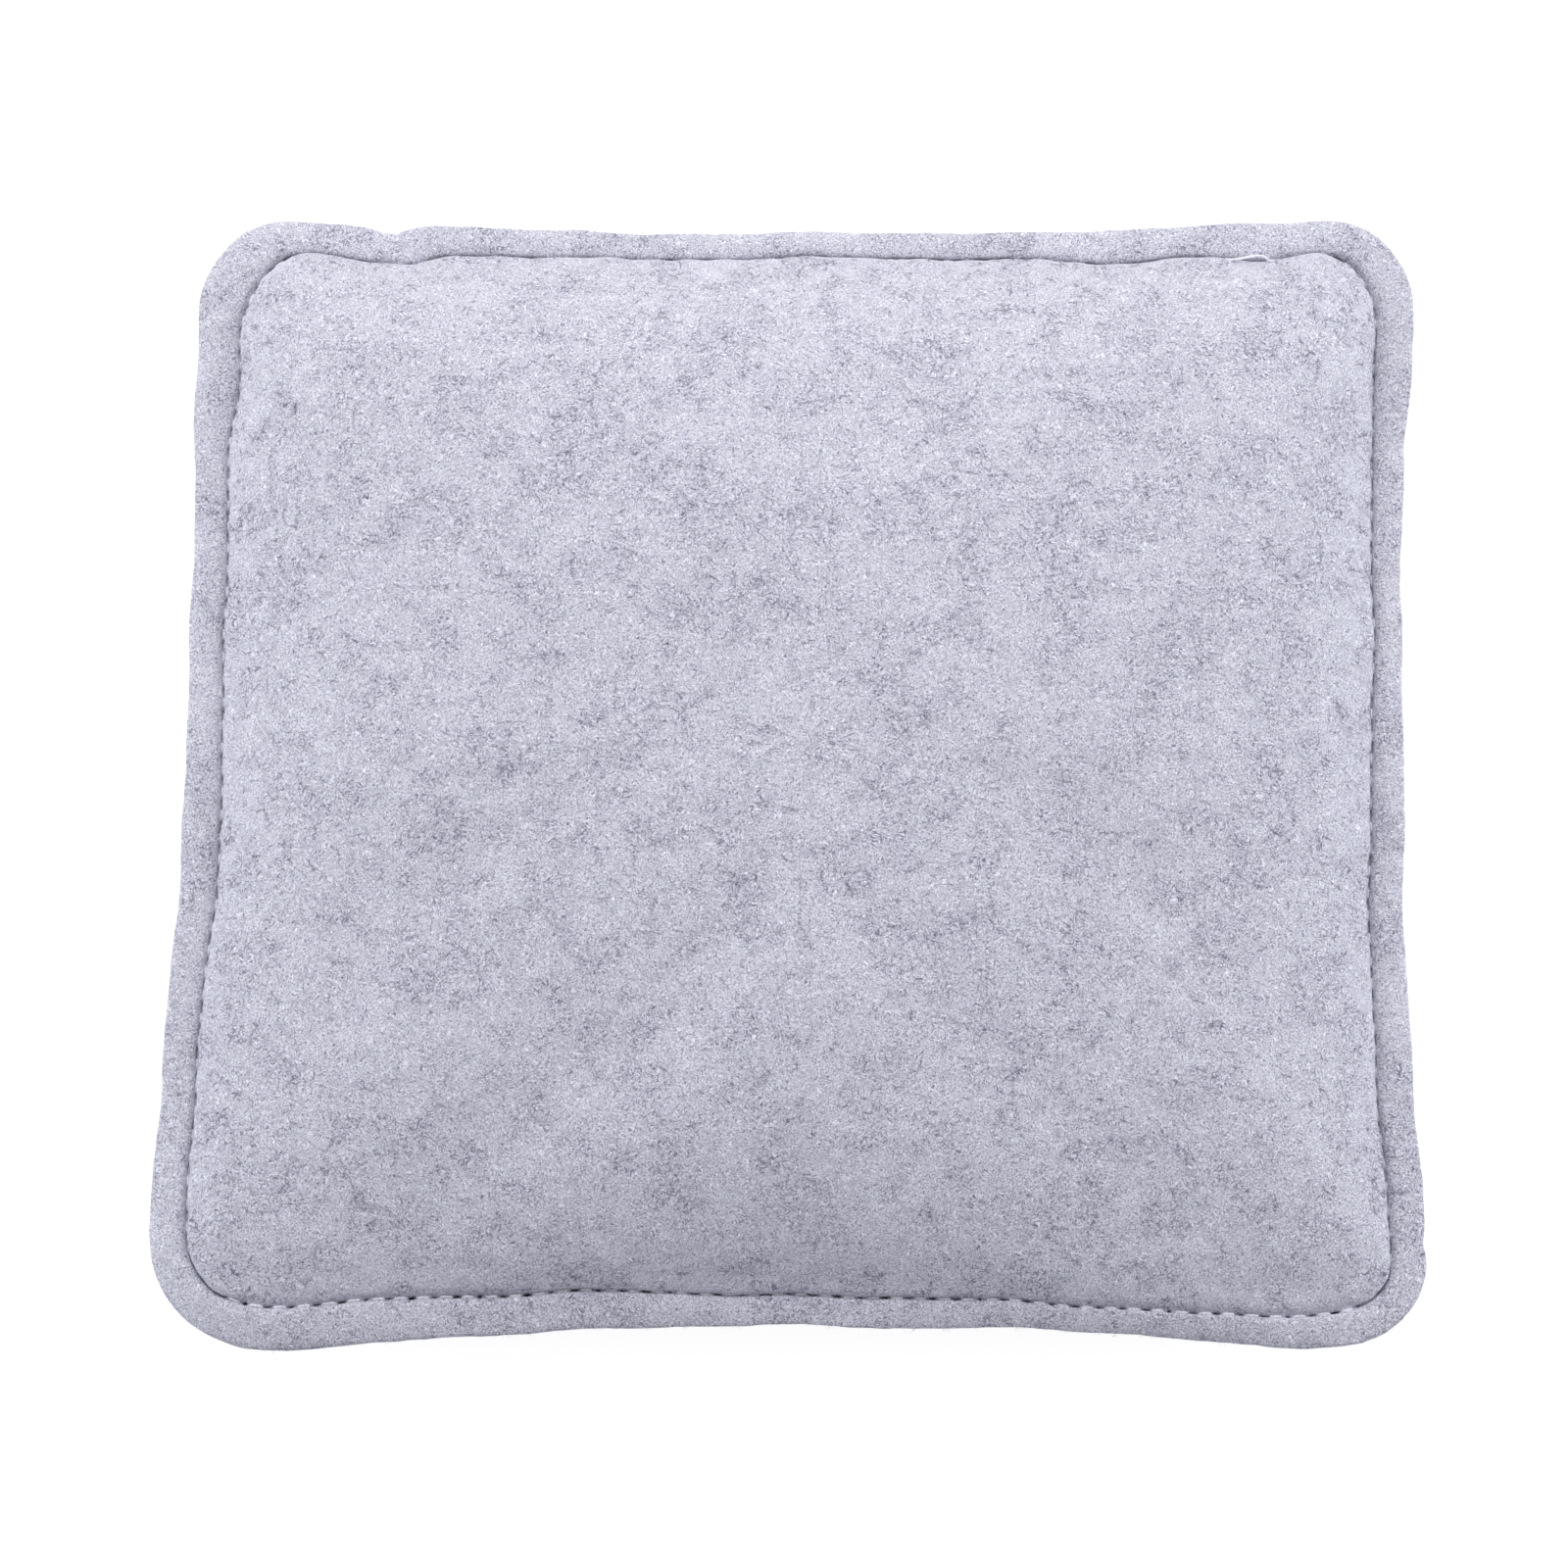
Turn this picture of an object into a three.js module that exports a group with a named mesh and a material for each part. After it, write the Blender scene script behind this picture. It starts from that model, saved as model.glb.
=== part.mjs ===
// Needle felting pad: a foam slab sewn between two felt panels, lying on a table.
// Millimetres, +Z up. The origin is on the table under the middle of the pad, and -Y is nearest the user.
import * as THREE from "three";

// Felt panels, as they lie on the stuffed pad
const panelWidth = 215; // along X, over the corners
const panelDepth = 200; // along Y, over the corners
const panelCornerRadius = 18; // of the cut edge
const feltThickness = 3;
const sidePull = 3; // how far the filling draws in the middle of each side

// Filling
const foamThickness = 30; // at the middle of the pad
const seatGap = 0.3; // between the foam and the felt
const fullness = 4.6; // exponent of the bulge: more is a steeper wall round a flatter crown
const restFlattening = 2; // how far the table presses the bottom bulge in
const crownCap = 18; // half depth of the nearly flat middle of a bulge

// Seam
const seamBelowMiddle = 1.3; // from half the pad's height down to the joint between the two panels
const seamAllowance = 5.5; // from the stitch line to the cut edge
const cornerTightening = 1; // how much tighter the stitch line turns than the cut edge
const layerGap = 0.3; // between the two panels' flanges
const grooveDepth = 1; // how far the stitches press into each panel
const grooveRoom = 0.65; // from the thread to each side of its groove
const grooveSlope = 1.8; // width of the bank that the seam draws the flange down to

// Thread
const threadDiameter = 0.5;
const threadGap = 0.3; // between the thread and the groove's floor
const stitchLength = 4;
const stitchArch = 0.4; // how much higher a stitch is at its middle than at its needle holes
const fillingGapStart = 1; // along the back, from the right back corner to the closing seam
const fillingGapLength = 110; // the stretch of the back that the closing seam shuts
const slackStitches = 1.5; // stitch lengths that the closing seam's loose first stitch spans
const slackArch = 1.8; // how far that stitch stands off the others

// Fineness of the faceted surfaces
const sideSteps = 8;
const cornerSteps = 6;
const bulgeSteps = 8;
const bulgeStepGrowth = 1.6; // exponent that packs a bulge's steps close at its foot
const threadSides = 4;

// Heights above the table
const foamBottom = feltThickness + seatGap;
const foamTop = foamBottom + foamThickness;
const cavityTop = foamTop + seatGap;
const padHeight = cavityTop + feltThickness;
const seamLevel = padHeight / 2 - seamBelowMiddle;
const upperJointFace = seamLevel + layerGap / 2;
const lowerJointFace = seamLevel - layerGap / 2;

// The stitch line, and what lies at an inset from it: the groove's edge, the felt's inner face and the foam
const halfWidth = panelWidth / 2 - seamAllowance;
const halfDepth = panelDepth / 2 - seamAllowance;
const stitchCornerRadius = panelCornerRadius - cornerTightening;
const inwardReach = Math.min(halfWidth, halfDepth);
const pinchedFelt = feltThickness - grooveDepth;
const grooveEdge = threadDiameter / 2 + grooveRoom;
const cavityEdge = grooveEdge + pinchedFelt;
const foamEdge = cavityEdge + 2 * seatGap;

// The pad's outline runs through four quarters, each a side and then the corner after it.
const stretches = 8;
const backSide = 2;

// Corner radius of the outline at an inset from the stitch line, rounder towards the middle of the pad
function cornerRadius(inset) {
  if (inset < 0) {
    const share = -inset / seamAllowance;
    return THREE.MathUtils.lerp(stitchCornerRadius, panelCornerRadius, share);
  }
  const share = Math.min(inset / inwardReach, 1);
  return THREE.MathUtils.lerp(stitchCornerRadius, inwardReach - inset, share ** 2);
}

// A point of the outline. Travel 0 to 8 counts the stretches from the front end of the right side.
function outlinePoint(travel, inset) {
  const quarter = Math.floor(travel / 2) % 4;
  const along = travel % 2;
  const facesX = quarter % 2 === 0;
  const reachOut = (facesX ? halfWidth : halfDepth) - inset;
  const reachAlong = (facesX ? halfDepth : halfWidth) - inset;
  const radius = Math.min(cornerRadius(inset), reachOut, reachAlong);
  const straight = reachAlong - radius;
  const point = new THREE.Vector3();
  if (along < 1) {
    const fade = (1 - Math.max(inset, 0) / inwardReach) ** 2;
    const pull = sidePull * fade * Math.sin(Math.PI * along) ** 2;
    point.set(reachOut - pull, straight * (2 * along - 1), 0);
  } else {
    const turn = (along - 1) * (Math.PI / 2);
    point.set(reachOut - radius + radius * Math.cos(turn), straight + radius * Math.sin(turn), 0);
  }
  return point.applyAxisAngle(new THREE.Vector3(0, 0, 1), quarter * (Math.PI / 2));
}

// One ring of the outline at a height
function outlineRing([inset, height]) {
  const ring = [];
  for (let stretch = 0; stretch < stretches; stretch++) {
    const steps = stretch % 2 === 0 ? sideSteps : cornerSteps;
    for (let step = 0; step < steps; step++) {
      ring.push(outlinePoint(stretch + step / steps, inset).setZ(height));
    }
  }
  return ring;
}

// A closed surface through rings of equal count, from the upper pole to the lower, with a point at each end
function loft(rings, firstPole, lastPole) {
  const count = rings[0].length;
  const points = [...rings.flat(), firstPole, lastPole];
  const first = points.length - 2;
  const last = points.length - 1;
  const faces = [];
  for (let j = 0; j < count; j++) {
    const next = (j + 1) % count;
    for (let k = 0; k + 1 < rings.length; k++) {
      const a = k * count;
      const b = a + count;
      faces.push(a + j, b + j, b + next, a + j, b + next, a + next);
    }
    const end = (rings.length - 1) * count;
    faces.push(first, j, next, last, end + next, end + j);
  }
  const geometry = new THREE.BufferGeometry().setFromPoints(points).setIndex(faces);
  geometry.computeVertexNormals();
  return geometry;
}

// Sweeps a section of [inset, height] points round the outline, with a flat or nearly flat cap at each end
function sweepRound(section, firstHeight, lastHeight) {
  const poles = [firstHeight, lastHeight].map((height) => new THREE.Vector3(0, 0, height));
  return loft(section.map(outlineRing), ...poles);
}

// Section of a bulge from its foot inwards: steepest at the foot, level at the crown, cut flat at flatAt
function bulge(footInset, rise, flatAt = rise) {
  const reach = inwardReach - footInset;
  const flatShare = 1 - (1 - flatAt / rise) ** (1 / fullness);
  const lastShare = Math.min(flatShare, 1 - crownCap / reach);
  return Array.from({ length: bulgeSteps + 1 }, (_, step) => {
    const share = lastShare * (step / bulgeSteps) ** bulgeStepGrowth;
    return [footInset + reach * share, rise * (1 - (1 - share) ** fullness)];
  });
}

// Raises a section, or turns it upside down first with direction -1
function place(section, level, direction = 1) {
  return section.map(([inset, height]) => [inset, level + direction * height]);
}

// A felt panel's section above its joint face: outer bulge, groove, flange, cut edge and inner bulge
function panelSection(outerRise, innerRise, flattening = 0) {
  const outer = bulge(grooveEdge, outerRise - pinchedFelt + flattening, outerRise - pinchedFelt);
  const inner = bulge(cavityEdge, innerRise + flattening, innerRise);
  const flange = [
    [-grooveEdge, pinchedFelt],
    [-grooveEdge - grooveSlope, feltThickness],
    [-seamAllowance, feltThickness],
    [-seamAllowance, 0],
  ];
  return [...place(outer, pinchedFelt).reverse(), ...flange, ...inner];
}

function topCover() {
  const section = panelSection(padHeight - upperJointFace, cavityTop - upperJointFace);
  return sweepRound(place(section, upperJointFace), padHeight, cavityTop);
}

function bottomCover() {
  const section = panelSection(lowerJointFace, lowerJointFace - feltThickness, restFlattening);
  return sweepRound(place(section, lowerJointFace, -1).reverse(), feltThickness, 0);
}

function foamCore() {
  const depth = seamLevel - foamBottom;
  const upper = place(bulge(foamEdge, foamTop - seamLevel), seamLevel);
  const lower = place(bulge(foamEdge, depth + restFlattening, depth), seamLevel, -1);
  return sweepRound([...upper.reverse(), ...lower.slice(1)], foamTop, foamBottom);
}

// The stitch line, from the right end of the back and anticlockwise round the pad
class StitchLine extends THREE.Curve {
  getPoint(share) {
    return outlinePoint((backSide + stretches * share) % stretches, 0);
  }
}

const stitchLine = new StitchLine();
stitchLine.arcLengthDivisions = 2000;
const stitchCount = Math.round(stitchLine.getLength() / stitchLength);
const stitchPitch = stitchLine.getLength() / stitchCount;
const closingFirst = Math.round(fillingGapStart / stitchPitch);
const closingLast = closingFirst + Math.round(fillingGapLength / stitchPitch);

// A thread's middle line from one needle hole to another: low at each hole and arched over each stitch
function threadLine(firstHole, lastHole, slack = 0) {
  const line = [];
  for (let half = 2 * firstHole; half <= 2 * lastHole; half++) {
    const point = stitchLine.getPointAt((half / 2 / stitchCount) % 1);
    const done = (half / 2 - firstHole) / slack;
    const loose = done < 1 ? slackArch * Math.sin(Math.PI * done) : 0;
    const arched = half % 2 === 1 ? stitchArch : 0;
    line.push(point.setZ(Math.max(loose, arched)));
  }
  return line;
}

// A thread along its line, on the upper face of the seam or, with direction -1, on the lower one
function thread(line, direction) {
  const joint = direction > 0 ? upperJointFace : lowerJointFace;
  const standOff = pinchedFelt + threadGap + threadDiameter / 2;
  const middle = line.map(({ x, y, z }) => new THREE.Vector3(x, y, joint + direction * (standOff + z)));
  const up = new THREE.Vector3(0, 0, 1);
  const rings = middle.map((point, i) => {
    const before = middle[Math.max(i - 1, 0)];
    const after = middle[Math.min(i + 1, middle.length - 1)];
    const ahead = after.clone().sub(before).normalize();
    const across = ahead.clone().cross(up).normalize();
    const above = across.clone().cross(ahead);
    return Array.from({ length: threadSides }, (_, side) => {
      const angle = (side / threadSides) * 2 * Math.PI;
      const spoke = across.clone().multiplyScalar(Math.cos(angle)).addScaledVector(above, Math.sin(angle));
      return point.clone().addScaledVector(spoke, threadDiameter / 2);
    });
  });
  return loft(rings, middle[0], middle.at(-1));
}

const felt = { color: 0xc4c4d3, roughness: 0.95, metalness: 0 };
const foam = { color: 0xe9e6dc, roughness: 0.9, metalness: 0 };
const sewingThread = { color: 0xb9bac8, roughness: 0.7, metalness: 0 };

const mainLine = threadLine(closingLast + 1, stitchCount + closingFirst - 1);
const closingLine = threadLine(closingFirst, closingLast, slackStitches);
const closingUnderLine = threadLine(closingFirst, closingLast);

const pieces = [
  ["top_cover", topCover(), felt],
  ["bottom_cover", bottomCover(), felt],
  ["foam_core", foamCore(), foam],
  ["seam_needle_thread", thread(mainLine, 1), sewingThread],
  ["seam_bobbin_thread", thread(mainLine, -1), sewingThread],
  ["closing_needle_thread", thread(closingLine, 1), sewingThread],
  ["closing_bobbin_thread", thread(closingUnderLine, -1), sewingThread],
];

const pad = new THREE.Group();
for (const [name, geometry, look] of pieces) {
  const piece = new THREE.Mesh(geometry, new THREE.MeshStandardMaterial(look));
  piece.name = name;
  pad.add(piece);
}

export default pad;
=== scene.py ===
"""Dresses the needle felting pad: felt panels, foam slab, stitching, loose fibres and a plain stage."""

import math

import bpy
import numpy as np
from bpy.props import FloatProperty, FloatVectorProperty, IntProperty, PointerProperty
from bpy.types import Operator, Panel, PropertyGroup
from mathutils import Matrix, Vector, noise


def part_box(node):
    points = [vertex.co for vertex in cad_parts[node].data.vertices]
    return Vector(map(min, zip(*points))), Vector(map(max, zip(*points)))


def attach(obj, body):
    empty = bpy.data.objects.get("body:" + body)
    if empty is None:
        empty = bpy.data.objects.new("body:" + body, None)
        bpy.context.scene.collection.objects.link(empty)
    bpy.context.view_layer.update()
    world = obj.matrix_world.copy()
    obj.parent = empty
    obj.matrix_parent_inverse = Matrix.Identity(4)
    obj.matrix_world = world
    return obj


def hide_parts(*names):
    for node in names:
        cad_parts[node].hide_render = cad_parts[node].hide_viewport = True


bl_info = {
    "name": "Needle Felting Pad",
    "version": (1, 0, 0),
    "blender": (4, 5, 0),
    "location": "View3D > Sidebar > Felting Pad",
    "description": "Builds a stuffed felt pad with its stitching, fibres and studio stage",
    "category": "Add Mesh",
}

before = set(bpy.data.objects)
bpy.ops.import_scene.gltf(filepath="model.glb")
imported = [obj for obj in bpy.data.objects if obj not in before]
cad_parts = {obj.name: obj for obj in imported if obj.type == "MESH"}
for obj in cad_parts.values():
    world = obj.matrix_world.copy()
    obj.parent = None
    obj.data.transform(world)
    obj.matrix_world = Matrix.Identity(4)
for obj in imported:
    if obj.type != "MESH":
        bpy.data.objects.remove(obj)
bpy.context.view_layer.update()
MM = 0.001
BODY = "root"

# Measures of the solids that the felt, foam and thread stand for
TOP_LOW, TOP_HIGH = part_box("top_cover")
BOTTOM_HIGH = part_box("bottom_cover")[1]
FOAM_LOW, FOAM_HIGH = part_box("foam_core")
SEAM_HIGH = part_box("seam_needle_thread")[1]
THREAD_DIAMETER = 0.5 * MM
STITCH_HALF_WIDTH = SEAM_HIGH.x - THREAD_DIAMETER / 2

# The outline runs through eight stretches: a side, then the corner after it, four times, anticlockwise
STRETCHES = 8
OUTLINE_SAMPLES = 6001
PULL_SHARE = 0.36  # of a side, from each end, over which the filling draws it in
EVEN_DEPTH = 0.6  # share of the way in at which points lie evenly round a ring
CORNER_SUM = 1.8  # shares of the way right and back, added up, at a round corner

# Parts of the outline where the seam differs: start, end and fade, counted in stretches
FRONT = (5.9, 7.1, 0.35)
NEAR_FRONT = (5.4, 7.6, 0.35)
STEEP_FRONT = (6.27, 6.73, 0.26)
BACK = (1.9, 3.1, 0.5)

# The wall beside the seam: where the front hangs over most, and the sizes of its pinched foot and its bank
OVERHANG_MIDDLE = -5 * MM
OVERHANG_HALF_WIDTH = 45 * MM
STEEP_RISE = 2.5 * MM
FOOT_WIDTH = 0.6 * MM
BANK_WIDTH = 3 * MM
HANG_CLIMB = 3 * MM  # height of the wall that hangs over
LIFT_CLIMB = 4 * MM  # height over which the wall meets a raised flange

# Waves round the pad: height in millimetres, count and phase
SEAM_SWAY = ((0.22, 13, 1.1), (0.16, 23, 3.0), (0.1, 41, 0))
FLANGE_WAVE = ((0.45, 5, 0.6), (0.35, 9, 2.1), (0.25, 17, 4.0))
SWAY_FADE = 12 * MM  # inset over which the seam's sway fades
PUCKER_FADE = 4 * MM  # inset over which the narrowest pucker fades

# Puckers and uneven sewing in millimetres: place, how far cut edge and seam are drawn in, and half width
PUCKERS = (
    (-71, 95, 1.7, 1.2, 4.5),
    (-62, 95, 1.2, 1.2, 16),
    (-30, 95, 0.4, 0.1, 6),
    (0, 95, 0, -0.8, 70),
    (68, 95, 1.1, 1.0, 14),
    (84, 95, 0.4, 2.1, 7),
    (101, 58, 1.1, 0.6, 7),
    (104, 25, 0, -0.9, 18),
    (104, -60, 1.2, 1.5, 28),
    (104, -83, 0.5, 0.1, 2),
    (50, -93, 0, -2.4, 38),
    (-70, -93, 0, 1.0, 28),
    (-5, -93, 0.2, -1.2, 22),
    (-54, -93, 0, -0.65, 16),
    (-105, -52, 0, -0.5, 22),
    (-104, -12, 0, 0.6, 12),
    (-100, 84, 0.8, 1.9, 14),
    (-102, 70, 0.5, 1.9, 12),
    (103, 72, 0, 1.2, 18),
    (-78, 95, 0.4, 2.2, 8),
    (57, 95, 0.2, 1.9, 10),
    (75, 95, 0, 0.9, 6),
)

# Folds across the flange in millimetres: place, depth at the cut edge and half width
FOLDS = (
    (-71, 95, 0.9, 1.8),
    (-41, 95, 0.4, 2.5),
    (-34, 95, 0.3, 1.6),
    (104, 73, 0.6, 1.6),
    (104, 57, 0.8, 1.5),
    (104, 28, 0.5, 1.6),
    (104, -16, 0.4, 1.8),
    (86, -96, 0.6, 1.6),
    (20, -96, 0.3, 2.0),
    (-104, 40, 0.3, 2.0),
    (-104, 5, 0.35, 2.0),
)

# Rings of a felt panel. A bulge's step grows from the first spacing at its foot to the second farther in.
STEPS_PER_STITCH = 8
OUTER_SPACING = (0.35 * MM, 1.5 * MM)
INNER_SPACING = (1.5 * MM, 5 * MM)
STEP_GROWTH = 18 * MM  # run up the section over which the step grows
SECTION_SAMPLES = 4001
CROWN_CAP = 2 * MM  # half depth of the cap at the middle of a bulge
REST_SOFTNESS = 0.3 * MM  # height over which a bulge turns flat on the table
WALL_FOOT = 0.35 * MM  # inset of the wall's foot
WALL_PULL_REACH = 5 * MM  # inset over which the wall is drawn taut
CREASE_SHADE_REACH = 0.7 * MM  # distance from the seam over which the crease is painted dark, as painted shade
FULL_ROWS = 14  # rows of the wall that have every point round the pad
HALF_ROWS = 30  # rows that have at least half of them
JOINT_SHARE = 0.05  # of the felt's thickness, left free at the joint face

# Insets of the flange's rings in millimetres, close together at the groove
FLANGE_RINGS = (0.22, 0.1, -0.02, -0.14, -0.27, -0.42, -0.6, -0.85, -1.2, -1.7, -2.4, -3.2, -4.0, -4.7)

# Rings of the cut edge: millimetres in from it, and height as a share of the felt's thickness
EDGE_RINGS = ((0.35, 0.97), (0.1, 0.85), (0.0, 0.65), (0.05, 0.4), (0.05, 0.18), (0.3, 0.06))

# Lumps of the stuffing and the felt: size and height in millimetres, and whether they fade out at the seam
LUMPS = ((34, 0.7, True), (11, 0.22, True), (3.2, 0.10, False), (1.3, 0.06, False))
LUMP_FADE = 12 * MM  # height off the seam at which lumps are full
TABLE_FADE = 3 * MM  # height above the table at which lumps are full

# How the filling sinks at the corners: how far in from the seam, and above what height in full
SINK_REACH = 85 * MM
SINK_HEIGHT = 10 * MM
SINK_PEAK = 27 / 4  # makes the deepest sinking 1

# The felt as a cloth that the filling presses out
CLOTH_FRAMES = 20
CLOTH_ROWS = 30
CLOTH_CAP = 2.5 * MM  # longest move that is kept
CLOTH_SETTINGS = {
    "quality": 6,
    "mass": 0.4,
    "tension_stiffness": 30,
    "compression_stiffness": 30,
    "shear_stiffness": 15,
    "bending_stiffness": 6,
    "use_pressure": True,
    "uniform_pressure_force": 3,
    "vertex_group_mass": "sewn",
}

# Stitches: half widths of the press, the thread's seat and its dip into each needle hole
HOLE_HALF_WIDTH = 0.25 * MM
GROOVE_HALF_WIDTH = 0.45 * MM
THREAD_SEAT = 0.32 * MM  # of the thread's middle above the groove's floor
THREAD_DIP = 1.7 * MM
DIP_HALF_LENGTH = 1.0 * MM
THREAD_STEPS = 12  # along each stitch
THREAD_SIDES = 6

# The closing seam's loose first stitch: stitch lengths spanned, rise, and lean in and out in millimetres
SLACK_SPAN = 1.8
LOOP_RISE = 4.3 * MM
LOOP_IN = 4.1
LOOP_OUT = 4.0
LOOP_START = 0.7  # stitch lengths that its first end lies back along the seam
LOOP_LEAN = 0.42  # stitch lengths that its top leans back

# Foam: how far it stays inside its solid at the edge, and at the top and bottom
FOAM_EDGE_GAP = 1.5 * MM
FOAM_GAP = 1 * MM

# Loose fibres
FIBRE_STEPS = 6
FIBRE_SIDES = 3
TONE_SEED = 5
SWAY_SPREAD = 0.5
FLANGE_FIBRE_SHARE = 0.45  # of the length that fibres on the bulge have
UPPER_EDGE_SHARE = 0.6  # of the edge fibres stand on the top panel

# Stage, in metres and watts: name, place, aim, width, power and colour of each softbox
PAD_MIDDLE = (0, 0, 0.02)
SIDE_LIGHT = (0.96, 0.98, 1.0)
SOFTBOXES = (
    ("top_softbox", (0.0, 0.345, 0.575), (0, 0.04, 0.02), 0.5, 2.38, (1.0, 1.0, 1.0)),
    ("back_softbox", (0.0, 0.9, 0.34), PAD_MIDDLE, 0.6, 3.8, (0.99, 0.99, 1.0)),
    ("left_softbox", (-0.85, -0.02, 0.32), PAD_MIDDLE, 0.6, 5.7, SIDE_LIGHT),
    ("right_softbox", (0.85, -0.02, 0.32), PAD_MIDDLE, 0.6, 5.7, SIDE_LIGHT),
    ("front_softbox", (0.0, -0.9, 0.34), PAD_MIDDLE, 0.6, 0.5, (0.6, 0.6, 1.0)),
)
WORLD_STRENGTH = (0.18, 1.0)  # as light on the pad, and as the camera sees it
FLOOR_HALF = 0.8
FLOOR_DROP = 0.2 * MM
PICTURE_PIXELS = 1600
PICTURE_SHIFT = (-6, -1)  # pixels that the aim lies off the picture's middle
AIM_FORWARD = 2.5 * MM


def length_property(label, description, default):
    """A length"""
    return FloatProperty(name=label, description=description, default=default, unit="LENGTH")


def four_lengths(label, description, *values):
    """A length in millimetres for each of four sides or corners"""
    default = [value * MM for value in values]
    return FloatVectorProperty(name=label, description=description, default=default, size=4, unit="LENGTH")


def colour_property(label, description, *default):
    """A colour, as linear values"""
    return FloatVectorProperty(name=label, description=description, default=default, size=3, subtype="COLOR")


class PadSize(PropertyGroup):
    """Sizes of the stuffed pad. Sides go from the right, and corners from the back right, anticlockwise."""

    panel_width: length_property("Panel Width", "Felt panel from left to right", TOP_HIGH.x - TOP_LOW.x)
    panel_depth: length_property("Panel Depth", "Felt panel from front to back", TOP_HIGH.y - TOP_LOW.y)
    pad_height: length_property("Pad Height", "Top of the crown above the table", TOP_HIGH.z)
    seam_level: length_property(
        "Seam Level", "Joint between the two panels above the table", (TOP_LOW.z + BOTTOM_HIGH.z) / 2
    )
    felt_thickness: length_property("Felt Thickness", "Thickness of each felt panel", 3 * MM)
    seam_allowance: length_property(
        "Seam Allowance", "From the stitch line to the cut edge", TOP_HIGH.x - STITCH_HALF_WIDTH
    )
    panel_corner_radius: four_lengths(
        "Panel Corner Radius", "Radius of the cut edge at each corner", 16.5, 16.5, 20.5, 15
    )
    corner_tightening: four_lengths(
        "Corner Tightening", "How much tighter the stitch line turns at each corner", 3, 1, 6.5, 5
    )
    side_pull: four_lengths("Side Pull", "How far the filling draws in each side", 3.0, 2.9, 2.3, 3.8)
    corner_shift: four_lengths("Corner Shift", "How far right each corner lies", 2.1, 3.2, -0.6, 0.3)
    corner_ease: four_lengths("Corner Ease", "How far the filling sinks at each corner", 0, 0, 3.5, 4)
    fullness: FloatProperty(
        name="Fullness",
        description="Exponent of the bulge: more is a steeper wall round a flatter crown",
        default=4.6,
    )
    lean: FloatProperty(
        name="Lean",
        description="How far the top leans to the right for each unit of height",
        default=0.05,
    )
    flange_droop: FloatVectorProperty(
        name="Flange Droop",
        description="Fall of each side's flange for each unit of its width",
        default=(0.1, 0.1, 0.28, 0.42),
        size=4,
    )
    flange_round: length_property("Flange Round", "Extra fall of the flange at its cut edge", 0.7 * MM)
    edge_trim: length_property("Edge Trim", "How far the cut edges stop short", 0.5 * MM)
    rest_flattening: length_property("Rest Flattening", "How far the table presses the pad in", 2 * MM)


class StitchSize(PropertyGroup):
    """Sizes of the stitching"""

    stitch_length: length_property("Stitch Length", "Distance between two needle holes", 4 * MM)
    thread_diameter: length_property("Thread Diameter", "Thickness of the sewing thread", THREAD_DIAMETER)
    roll_depth: length_property("Roll Depth", "How far the seam draws the flange down", 1.6 * MM)
    roll_width: length_property("Roll Width", "Width over which the flange rolls down", 1.3 * MM)
    groove_depth: length_property("Groove Depth", "How far the stitches press in", 0.5 * MM)
    hole_depth: length_property("Hole Depth", "Depth of a needle hole under the groove", 1.4 * MM)


class FibreCount(PropertyGroup):
    """Loose fibres of the felt"""

    surface: IntProperty(
        name="Surface Fibres", description="Fibres that lie loose on the felt", default=4200, min=0
    )
    edge: IntProperty(
        name="Edge Fibres", description="Short fibres that stand out of the cut edges", default=4200, min=0
    )
    seed: IntProperty(name="Seed", description="Start of the random draws", default=11)


class FeltColour(PropertyGroup):
    """Colours of the felt, thread and foam"""

    pale: colour_property("Pale Fibre", "Lightest wool in the felt", 0.93, 0.93, 1.0)
    middle: colour_property("Middle Tone", "Most of the felt", 0.575, 0.57, 0.675)
    dark: colour_property("Dark Fibre", "Darkest wool in the felt", 0.165, 0.16, 0.225)
    thread: colour_property("Thread", "Sewing thread", 0.78, 0.78, 0.86)
    foam: colour_property("Foam", "Filling slab", 0.80, 0.78, 0.70)


class StageSize(PropertyGroup):
    """Camera of the stage"""

    elevation: FloatProperty(
        name="Camera Elevation",
        description="Angle of the camera above the table",
        default=math.radians(76),
        subtype="ANGLE",
    )
    distance: length_property("Camera Distance", "From the camera to the pad", 1.0)
    focal_pixels: FloatProperty(
        name="Focal Length in Pixels",
        description="Focal length, counted in pixels of the picture",
        default=5900,
    )


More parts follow.
